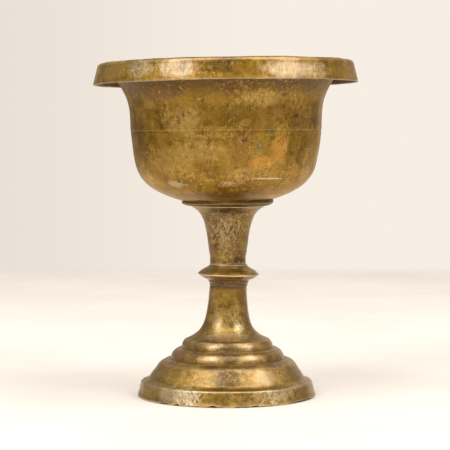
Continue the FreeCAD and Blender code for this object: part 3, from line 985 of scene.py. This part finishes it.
FOOT_STAINS_AND_PAINTED_LIGHT = (
    # this entry and the next: painted highlight on the front of the flare, which faces up
    (TAN, 0.7, (0, 15, 32.4, 14, 4)),
    (BARE_AND_HIGHLIGHT, 0.35, (0, 17, 30.6, 15, 2.4)),
    # this entry and the next: painted highlights on the lower stem, where the lights are mirrored
    (BARE_AND_HIGHLIGHT, 0.5, (-24, 11.5, 37.9, 3.2, 6)),
    (BARE_AND_HIGHLIGHT, 0.5, (34, 12, 35.9, 3.2, 5)),
    (REDDISH, 0.65, (58, 43.5, 4.9, 9, 3.2)),
    (BROWN, 0.7, (46, 37, 12.5, 0.9, 0.8)),
    # painted shade on the dome's upper shoulder
    (BROWN, 0.65, (0, 35.6, 16.8, 15, 2.2)),
    (TAN, 0.6, (-60, 43.5, 4.9, 11, 3.5)),
    (BARE_AND_HIGHLIGHT, 0.5, (-40, 43.5, 4.9, 9, 4.5)),
    # painted highlight on the front of the flare
    (TAN, 0.6, (0, 11, 39, 12, 7)),
    (BARE_AND_HIGHLIGHT, 0.65, (-27, 43.5, 4.9, 8, 4.5)),
    (TAN, 0.4, (8, 43.5, 4.4, 10, 4)),
    (TAN, 0.75, (27, 43.5, 4.9, 11, 3.5)),
    (BARE_AND_HIGHLIGHT, 0.35, (37, 43.5, 4.9, 10, 3.5)),
    (TAN, 0.35, (-48, 37, 13.5, 9, 6)),
    (TAN, 0.45, (50, 37, 13.5, 9, 6)),
    # painted shade that dulls the dome's left highlight
    (OLIVE, 0.35, (-20, 37.5, 13.5, 8, 5.5)),
    # painted highlight on the dome's right side, with wear
    (BARE_AND_HIGHLIGHT, 0.25, (31, 37.5, 13, 8, 5)),
    # this entry and the next: painted shade between the dome's two highlights
    (OLIVE, 0.8, (0, 37.5, 13, 13, 7)),
    (BROWN, 0.65, (-1, 37.5, 13, 8, 6.5)),
    (TAN, 0.5, (4, 27.2, 20.2, 15, 1.4)),
    # painted shade between the second ring's two highlights
    (BROWN, 0.8, (4, 26.5, 21.8, 7.5, 3.4)),
    # painted shade between the top ring's two highlights
    (BROWN, 0.65, (3, 22.4, 25.8, 6, 3)),
    (TAN, 0.6, (3, 23.4, 24.3, 12, 0.9)),
    # this entry and the next three: painted highlights on the two upper rings, with some wear
    (BARE_AND_HIGHLIGHT, 0.3, (-18, 26.5, 21.6, 4.5, 1.6)),
    (BARE_AND_HIGHLIGHT, 0.35, (27, 26.5, 21.6, 4.5, 1.6)),
    (BARE_AND_HIGHLIGHT, 0.3, (-17, 22.4, 26, 4, 1.6)),
    (BARE_AND_HIGHLIGHT, 0.3, (26, 22.4, 26, 3.5, 1.6)),
    (TAN, 0.55, (-42, 10.2, 46, 4, 12)),
    (REDDISH, 0.7, (48, 9.6, 49.5, 3.5, 6)),
    (REDDISH, 0.55, (-66, 10, 44, 3, 7)),
    (BROWN, 0.45, (48, 10.6, 41, 1.2, 2)),
)
# Scratches are (strength of the lines, of short flecks, cover, (width, length) of a line,
# two leans in degrees, place).
BOWL_SCRATCHES = (
    (0.35, 0.4, 0.8, (0.62, 3), (4, 60), (-22, 65, 160.9, 15, 5)),
    (0.35, 0.4, 0.8, (0.62, 3), (-10, 65), (26, 65, 160.9, 17, 5)),
)
STEM_SCRATCHES = (
    (0.65, 1, 0.9, (0.62, 3.2), (6, -24), (2, 10.5, 82.9, 9, 11)),
)
FOOT_SCRATCHES = (
    (1, 0.2, 2, (0.95, 14), (34, -36), (-25, 43.5, 4.4, 9.5, 6)),
    (0.7, 0.4, 1.1, (0.8, 5), (22, -40), (27, 43.5, 4.4, 10, 4)),
)
BRASS = {
    "foot": aged_brass("brass_foot", FOOT_STAINS_AND_PAINTED_LIGHT, FOOT_SCRATCHES, rough_by=-0.03, seed=2.0,
                       inside=raw_casting),
    "knop": aged_brass("brass_knop", KNOP_STAINS_AND_PAINTED_LIGHT, seed=9.0),
    "upper_stem": aged_brass("brass_stem", STEM_STAINS, STEM_SCRATCHES, "up", dark=0.76, grit=2.1,
                             film_over=0.6, seed=14.0),
    "bowl_collar": aged_brass("brass_collar", COLLAR_STAINS, dark=0.62, film_over=0.15, seed=21.0),
    "bowl": aged_brass("brass_bowl", BOWL_STAINS_AND_PAINTED_LIGHT, BOWL_SCRATCHES, dark=1.08, film_over=0.34, seed=27.0,
                       inside=baked_oil),
}
steel = old_steel("dull_steel")
fittings = turned_brass("oily_brass")
leather = oiled_leather("oiled_leather")

PIECES = (
    ("foot", make_foot(), BRASS["foot"], "aged_brass"),
    ("knop", make_knop(), BRASS["knop"], "aged_brass"),
    ("upper_stem", make_upper_stem(), BRASS["upper_stem"], "aged_brass"),
    ("bowl_collar", make_collar(), BRASS["bowl_collar"], "dark_brass"),
    ("bowl", make_bowl(), BRASS["bowl"], "aged_brass"),
    ("tie_rod", make_rod(), steel, "mild_steel"),
    ("foot_washer", make_washer("foot_washer", "clamp_washer", 0.0, 101), steel, "mild_steel"),
    ("foot_nut", make_foot_nut(), steel, "mild_steel"),
    ("floor_seal", make_seal(), leather, "leather"),
    ("floor_washer", make_washer("floor_washer", "bowl_washer", BOWL_TILT, 102), fittings, "turned_brass"),
    ("wick_nut", make_wick_nut(), fittings, "turned_brass"),
)
for node, piece, material, slot in PIECES:
    piece.data.materials.append(material)
    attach(piece, "root")
    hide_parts(node)


# ------------------------ floor, light and camera

FLOOR_BACK = 0.90
FLOOR_SIDE = 0.55
FLOOR_FRONT = 1.6
FLOOR_FADE = 0.12
AIM_HEIGHT = 0.10  # the lights point at the lamp's axis at this height
SOFTBOX = (0.72, 1.20)
SOFTBOX_POWER = 13.2
SOFTBOX_COLOUR = (1.0, 0.99, 0.97)
CAMERA_PLACE = (-0.00075, -0.8615, 0.1267)
CAMERA_DIP = 2.745  # degrees below level


def make_floor():
    """A pale table that ends softly behind the lamp."""
    work = bmesh.new()
    corners = ((-FLOOR_SIDE, -FLOOR_FRONT), (FLOOR_SIDE, -FLOOR_FRONT),
               (FLOOR_SIDE, FLOOR_BACK), (-FLOOR_SIDE, FLOOR_BACK))
    work.faces.new([work.verts.new((x, y, 0.0)) for x, y in corners])
    mesh = bpy.data.meshes.new("floor")
    work.to_mesh(mesh)
    work.free()
    floor = in_scene("floor", mesh)
    floor.data.materials.append(pale_ground("pale_floor", FLOOR_SIDE, FLOOR_BACK, FLOOR_FADE))


def add_light(name, azimuth, elevation, distance, size, power, colour, mirrored=True):
    """A soft rectangular light aimed at the lamp; azimuth 0 is in front of it, positive to the right.

    A light that is not mirrored gives light but leaves no highlight."""
    light = bpy.data.lights.new(name, "AREA")
    light.shape = "RECTANGLE"
    light.size, light.size_y = size
    light.energy = power
    light.color = colour
    lamp = in_scene(name, light)
    turn_by, rise = math.radians(azimuth), math.radians(elevation)
    way = np.array([math.sin(turn_by) * math.cos(rise), -math.cos(turn_by) * math.cos(rise), math.sin(rise)])
    lamp.location = way * distance + np.array([0, 0, AIM_HEIGHT])
    lamp.rotation_euler = (math.pi / 2 - rise, 0, turn_by)
    lamp.visible_camera = False
    lamp.visible_glossy = mirrored


def make_world():
    """A pale surround, dimmer on the side that the lamp is seen from."""
    world = bpy.data.worlds.new("surround")
    world.use_nodes = True
    n = Nodes(world.node_tree)
    back = n.tree.nodes["Background"]
    split = n.add("ShaderNodeSeparateXYZ")
    n.feed(split.inputs[0], n.add("ShaderNodeTexCoord").outputs["Generated"])
    x, y, z = split.outputs

    def choose(factor, a, b):
        node = n.add("ShaderNodeMix")
        for index, value in ((0, factor), (2, a), (3, b)):
            n.feed(node.inputs[index], value)
        return node.outputs[0]

    paths = n.add("ShaderNodeLightPath").outputs
    wall = n.times(n.between(y, 0.55, 0.97, 0.0, 0.85), n.between(x, -0.6, 0.6, 0.25, 1.30))
    mirrored = n.larger(wall, n.between(z, 0.0, 0.45, 0.35, 0.43))
    strength = choose(paths["Is Glossy Ray"], n.between(y, -0.9, 0.5, 0.42, 0.95), mirrored)
    # seen directly, the surround is darker to the left: painted shade on the backdrop
    strength = choose(paths["Is Camera Ray"], strength, n.between(x, -0.14, 0.04, 0.90, 1.03))
    n.feed(back.inputs["Strength"], strength)
    back.inputs["Color"].default_value = (0.905, 0.835, 0.750, 1.0)
    bpy.context.scene.world = world


def make_camera():
    camera = bpy.data.cameras.new("camera")
    camera.lens = 137.84
    camera.sensor_width = 36.0
    camera.clip_start, camera.clip_end = 0.05, 50.0
    holder = in_scene("camera", camera)
    holder.location = CAMERA_PLACE
    holder.rotation_euler = (math.radians(90 - CAMERA_DIP), 0, 0)
    bpy.context.scene.camera = holder


make_floor()
add_light("left_softbox", -42, 52, 1.3, SOFTBOX, SOFTBOX_POWER, SOFTBOX_COLOUR)
add_light("right_softbox", 58, 52, 1.3, SOFTBOX, SOFTBOX_POWER, SOFTBOX_COLOUR)
add_light("back_softbox", 180, 62, 1.3, (1.2, 0.8), 3.0, (1.0, 0.97, 0.93), mirrored=False)
make_world()
make_camera()
bpy.context.scene.view_settings.view_transform = "Standard"
